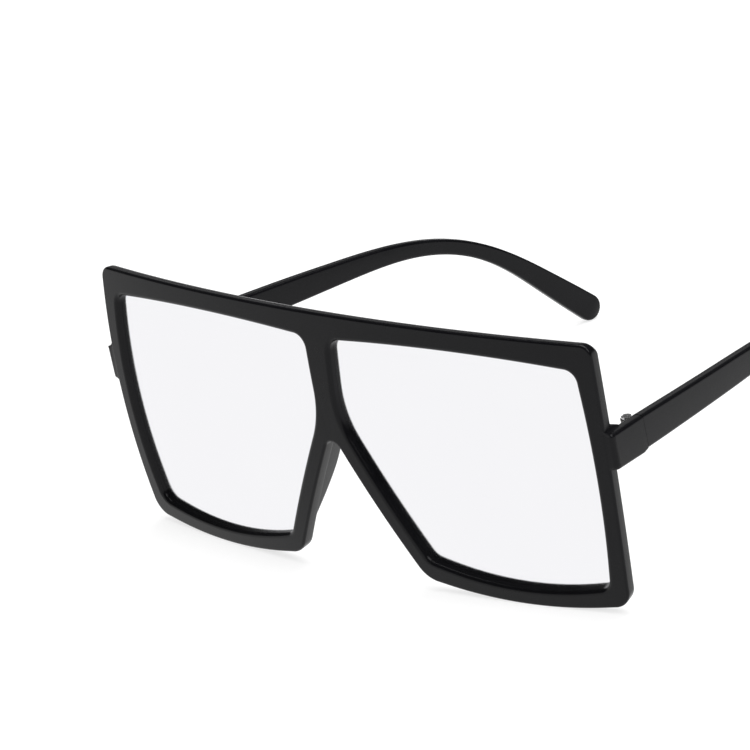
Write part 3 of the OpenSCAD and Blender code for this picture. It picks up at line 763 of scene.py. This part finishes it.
# %% Front moulding
ON_SEAM, WELD = 1e-7, 2e-6
bm = bmesh.new()
for side in (False, True):
    skin(bm, rim_rows[side], ring=True, mirror=side)
seam_wall = [f for f in bm.faces if all(abs(v.co.x) < ON_SEAM for v in f.verts)]
bmesh.ops.delete(bm, geom=seam_wall, context="FACES")
seam_points = [v for v in bm.verts if abs(v.co.x) < ON_SEAM]
bmesh.ops.remove_doubles(bm, verts=seam_points, dist=WELD)
for side in (False, True):
    for rows in (pad_rows, corner_rows, fillet_rows, bar_rows):
        skin(bm, rows, mirror=side)
front_moulding = finish_piece(bm, "front_moulding", black_plastic, "front", ["front_frame"])

# %% [markdown]
# ## The lenses
#
# Each lens is a thin curved plate that follows the front and reaches into the groove. A flat
# face with many corners would fill the opening in one go, but it can't curve, and a mirror
# shows every flat spot. So the plate is built from rings that shrink from the edge towards the
# middle. Its faces stay small and even, and the mirror stays smooth.

# %% One face of a lens
TUCK, RINGS = 0.9, 14


def lens_point(bm, p, behind, mirror):
    q = bent(p.x, p.y, lens_depth(p.x, mirror) + behind)
    return bm.verts.new(on_table(Vector((-q.x if mirror else q.x, q.y, q.z))))


def lens_face(bm, edge, behind, mirror):
    middle = Vector((sum(p.x for p in edge), sum(p.y for p in edge))) / len(edge)
    shrunk = [[middle.lerp(p, 1 - k / RINGS) for p in edge] for k in range(RINGS)]
    rings = [[lens_point(bm, p, behind, mirror) for p in ring] for ring in shrunk]
    return rings, lens_point(bm, middle, behind, mirror)


print("each lens face has", RINGS, "rings of", len(opening), "points")

# %% Lens plates
def lens_plate(name, node, mirror):
    bm = bmesh.new()
    edge = [p + n * TUCK for p, n in opening]
    n = len(edge)
    faces = [lens_face(bm, edge, behind, mirror) for behind in (0, LENS_T)]
    for rings, heart in faces:
        for a, b in zip(rings, rings[1:]):
            for j in range(n):
                bm.faces.new((a[j], a[(j + 1) % n], b[(j + 1) % n], b[j]))
        for j in range(n):
            bm.faces.new((rings[-1][j], rings[-1][(j + 1) % n], heart))
    front, rear = faces[0][0][0], faces[1][0][0]
    for j in range(n):
        bm.faces.new((front[j], rear[j], rear[(j + 1) % n], front[(j + 1) % n]))
    piece = finish_piece(bm, name, mirror_lens, "front", [node], sharp=50)


lens_plate("mirror_lens_left", "lens_left", False)
lens_plate("mirror_lens_right", "lens_right", True)

# %% [markdown]
# ## The temples
#
# A temple is a long bar that tapers from the hinge, turns down over the ear and ends in a
# rounded paddle. A straight bar could be bent with a curve modifier, but then its height would
# lean over in the bend. So its middle line is walked step by step, with an angle that changes
# smoothly, and a slice stands square on each step. Seen from above it also curls in a little
# towards the head.

# %% Temple middle line
TEMPLE_LEN, EAR_BEND, CURL, TIP_H, TIP_T = 143.0, math.radians(40.6), 7.6, 6.7, 2.5
BEND_FROM, BEND_TO, BEND_LATE = 0.375, 0.863, 1.35
WALK = 160
body_len = TEMPLE_LEN - TIP_H / 2


def temple_angle(s):
    share = (s / TEMPLE_LEN - BEND_FROM) / (BEND_TO - BEND_FROM)
    return TILT + EAR_BEND * smooth_step(share) ** BEND_LATE


middle_line = []
y, v, step = 0.0, HINGE_V, body_len / WALK
for i in range(WALK + 1):
    middle_line.append((i * step, y, v, temple_angle(i * step)))
    a = temple_angle((i + 0.5) * step)
    y, v = y + step * math.cos(a), v - step * math.sin(a)
print("tip is", round(HINGE_V - middle_line[-1][2], 1), "mm below the hinge")

# %% Temple height and thickness along its length
HEIGHTS = [(0, 8.0), (0.3, 6.6), (0.45, 5.2), (0.53, 4.36), (0.62, 3.8), (0.74, 3.8),
           (0.82, 4.61), (0.91, 5.83), (1, 6.7)]


def temple_height(s):
    x = min(max(s / body_len, 0), 1)
    i = min(bisect.bisect_right([a for a, _ in HEIGHTS], x), len(HEIGHTS) - 1)
    (x0, h0), (x1, h1) = HEIGHTS[i - 1], HEIGHTS[i]
    return h0 + (h1 - h0) * (x - x0) / (x1 - x0)


def soft_height(s):
    near = [temple_height(s + d) for d in range(-6, 7, 2)]
    return sum(near) / len(near) if s > 1 else temple_height(s)


def temple_thick(s):
    return TEMPLE_T + (TIP_T - TEMPLE_T) * smooth_step(s / TEMPLE_LEN)


print("slimmest height:", round(min(soft_height(s) for s, *_ in middle_line), 2), "mm")

# %% Temple slices
UPRIGHT_SHARE = 0.08
TIP_STEPS, TIP_SWEEP, TIP_THIN = 20, 87, 0.6


def temple_row(s, y, v, angle, height, thick):
    a = angle * min(s / (UPRIGHT_SHARE * TEMPLE_LEN), 1)
    inner = HINGE_OFF + (temple_thick(s) - thick) / 2
    row = upright_row(Vector((inner, 0)), Vector((inner + thick, 0)),
                      -height / 2, height / 2, EDGE_R)
    curl = CURL * (s / TEMPLE_LEN) ** 2
    return [from_hinge(p.x - curl, y + math.sin(a) * p.z + HALF_JOINT, v + math.cos(a) * p.z)
            for p in row]


temple_rows = [temple_row(s, y, v, a, soft_height(s), temple_thick(s))
               for s, y, v, a in middle_line]
s_end, y_end, v_end, a_end = middle_line[-1]
h_end = soft_height(s_end)
for k in range(1, TIP_STEPS + 1):
    g = math.radians(TIP_SWEEP * k / TIP_STEPS)
    out = TIP_H / 2 * math.sin(g)
    y, v = y_end + out * math.cos(a_end), v_end - out * math.sin(a_end)
    thick = TIP_T * (1 + (math.cos(g) - 1) * TIP_THIN)
    temple_rows.append(temple_row(s_end + out, y, v, a_end, h_end * math.cos(g), thick))
print("temple:", len(temple_rows), "slices of", len(temple_rows[0]), "points")

# %% Moulded temples
def temple_piece(name, body, node, mirror):
    bm = bmesh.new()
    skin(bm, temple_rows, mirror=mirror)
    piece = finish_piece(bm, name, black_plastic, body, [node])


temple_piece("moulded_temple_left", "temple_left", "temple_left", False)
temple_piece("moulded_temple_right", "temple_right", "temple_right", True)

# %% [markdown]
# ## The hinges
#
# Each hinge has a leaf with two knuckles in the front, a leaf with one knuckle in the temple,
# and a screw that is their pin. They could be modelled again with softer edges, but they are
# only a few millimetres large, and the construction has their exact bores. So they stay as
# they are and only get their metal.

# %% Hinge finishes
HINGE_FINISHES = {"hinge_front": hinge_metal, "hinge_temple": hinge_metal,
                  "hinge_screw": screw_steel}
for side in ("left", "right"):
    for node, finish in HINGE_FINISHES.items():
        metal_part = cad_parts[f"{node}_{side}"]
        metal_part.data.materials.clear()
        metal_part.data.materials.append(finish)
print("hinge parts dressed:", 2 * len(HINGE_FINISHES))

# %% [markdown]
# ## The table
#
# The glasses stand on a white sheet that fills the picture. The easy way to a pure white
# background is a lot of light, but that would wash out the black plastic as well. So the sheet
# looks at who asks. The camera sees it partly as plain white and partly as shaded paper, so
# that the soft contact shadow under the rims stays. Anything shiny sees it white, and the
# light that it throws back on the plastic is that of ordinary paper.

# %% White sheet
SHEET_HALF, SHEET_DROP = 4.0, 0.00005
bm = bmesh.new()
bmesh.ops.create_grid(bm, x_segments=1, y_segments=1, size=SHEET_HALF)
sheet_mesh = bpy.data.meshes.new("white_sheet")
bm.to_mesh(sheet_mesh)
bm.free()
white_sheet = bpy.data.objects.new("white_sheet", sheet_mesh)
bpy.context.collection.objects.link(white_sheet)
white_sheet.location.z = -SHEET_DROP
print("sheet is", 2 * SHEET_HALF, "m wide")

# %% Paper of the sheet
WHITE = (1, 1, 1, 1)
sheet_white = bpy.data.materials.new("white_sheet")
sheet_white.use_nodes = True
tree = sheet_white.node_tree
tree.nodes.clear()
path = add_node(tree, "ShaderNodeLightPath")
matt = add_node(tree, "ShaderNodeBsdfDiffuse", Color=(0.8, 0.8, 0.8, 1))
thin = add_node(tree, "ShaderNodeBsdfDiffuse", Color=(0.4, 0.4, 0.4, 1))
glow = add_node(tree, "ShaderNodeEmission", Color=WHITE, Strength=0.72)
shown = add_node(tree, "ShaderNodeAddShader")
tree.links.new(thin.outputs[0], shown.inputs[0])
tree.links.new(glow.outputs[0], shown.inputs[1])
mirrored = add_node(tree, "ShaderNodeEmission", Color=WHITE, Strength=1.0)
seen = add_node(tree, "ShaderNodeMixShader", Fac=path.outputs["Is Camera Ray"])
tree.links.new(matt.outputs[0], seen.inputs[1])
tree.links.new(shown.outputs[0], seen.inputs[2])
shiny = add_node(tree, "ShaderNodeMath", {"operation": "MAXIMUM"})
tree.links.new(path.outputs["Is Glossy Ray"], shiny.inputs[0])
tree.links.new(path.outputs["Is Transmission Ray"], shiny.inputs[1])
choice = add_node(tree, "ShaderNodeMixShader", Fac=shiny.outputs[0])
tree.links.new(seen.outputs[0], choice.inputs[1])
tree.links.new(mirrored.outputs[0], choice.inputs[2])
surface = add_node(tree, "ShaderNodeOutputMaterial")
tree.links.new(choice.outputs[0], surface.inputs["Surface"])
sheet_mesh.materials.append(sheet_white)
print("paper:", len(tree.nodes), "nodes")

# %% [markdown]
# ## The room and its light
#
# Black plastic has almost no colour of its own. It is drawn by what it mirrors, so the room is
# built for the mirror image. A white room all round would turn the front grey. In a
# photographer's room only the table and the wall just above it are bright, and higher up it is
# dark. The world does the same for shiny surfaces, with a ramp from white at the horizon to
# dark above. For the camera it is white, and everything else gets a soft grey light from it.
#
# Three soft lamps are added. One hangs overhead, one stands to the right and lights the side
# of the rims, and a long thin strip low behind on the left draws the fine bright line along
# the top edge of the front.

# %% Pale room
room = bpy.data.worlds.new("pale_room")
bpy.context.scene.world = room
room.use_nodes = True
tree = room.node_tree
tree.nodes.clear()
path = add_node(tree, "ShaderNodeLightPath")
soft = add_node(tree, "ShaderNodeBackground", Color=WHITE, Strength=0.45)
white = add_node(tree, "ShaderNodeBackground", Color=WHITE, Strength=1.0)
direction = add_node(tree, "ShaderNodeTexCoord").outputs["Generated"]
height = add_node(tree, "ShaderNodeSeparateXYZ", Vector=direction).outputs["Z"]
falling = ramp(tree, height, (0.02, 1.0), (0.12, 0.07), (0.9, 0.1))
dark = add_node(tree, "ShaderNodeBackground", Color=falling, Strength=1.0)
choice = add_node(tree, "ShaderNodeMixShader", Fac=path.outputs["Is Camera Ray"])
tree.links.new(soft.outputs[0], choice.inputs[1])
tree.links.new(white.outputs[0], choice.inputs[2])
mirrored = add_node(tree, "ShaderNodeMixShader", Fac=path.outputs["Is Glossy Ray"])
tree.links.new(choice.outputs[0], mirrored.inputs[1])
tree.links.new(dark.outputs[0], mirrored.inputs[2])
surroundings = add_node(tree, "ShaderNodeOutputWorld")
tree.links.new(mirrored.outputs[0], surroundings.inputs["Surface"])
print("room:", len(tree.nodes), "nodes")

# %% Soft lamps
LIT_POINT = Vector((0, 0, 0.03))


def soft_lamp(name, bearing, rise, distance, width, height, watts):
    b, r = math.radians(bearing), math.radians(rise)
    towards = Vector((math.sin(b) * math.cos(r), -math.cos(b) * math.cos(r), math.sin(r)))
    data = bpy.data.lights.new(name, "AREA")
    data.shape, data.size, data.size_y, data.energy = "RECTANGLE", width, height, watts
    lamp = bpy.data.objects.new(name, data)
    lamp.location = LIT_POINT + towards * distance
    lamp.rotation_euler = towards.to_track_quat("Z", "Y").to_euler()
    bpy.context.collection.objects.link(lamp)
    print(name, "gives", watts, "W")


soft_lamp("lamp_overhead", bearing=180, rise=80, distance=1.4, width=1.2, height=1.2, watts=16)
soft_lamp("lamp_right", bearing=75, rise=45, distance=1.4, width=0.7, height=0.7, watts=6)
soft_lamp("strip_back_left", bearing=-136, rise=20, distance=1.5, width=1.6, height=0.22,
          watts=0.5)
bpy.context.scene.view_settings.view_transform = "Standard"
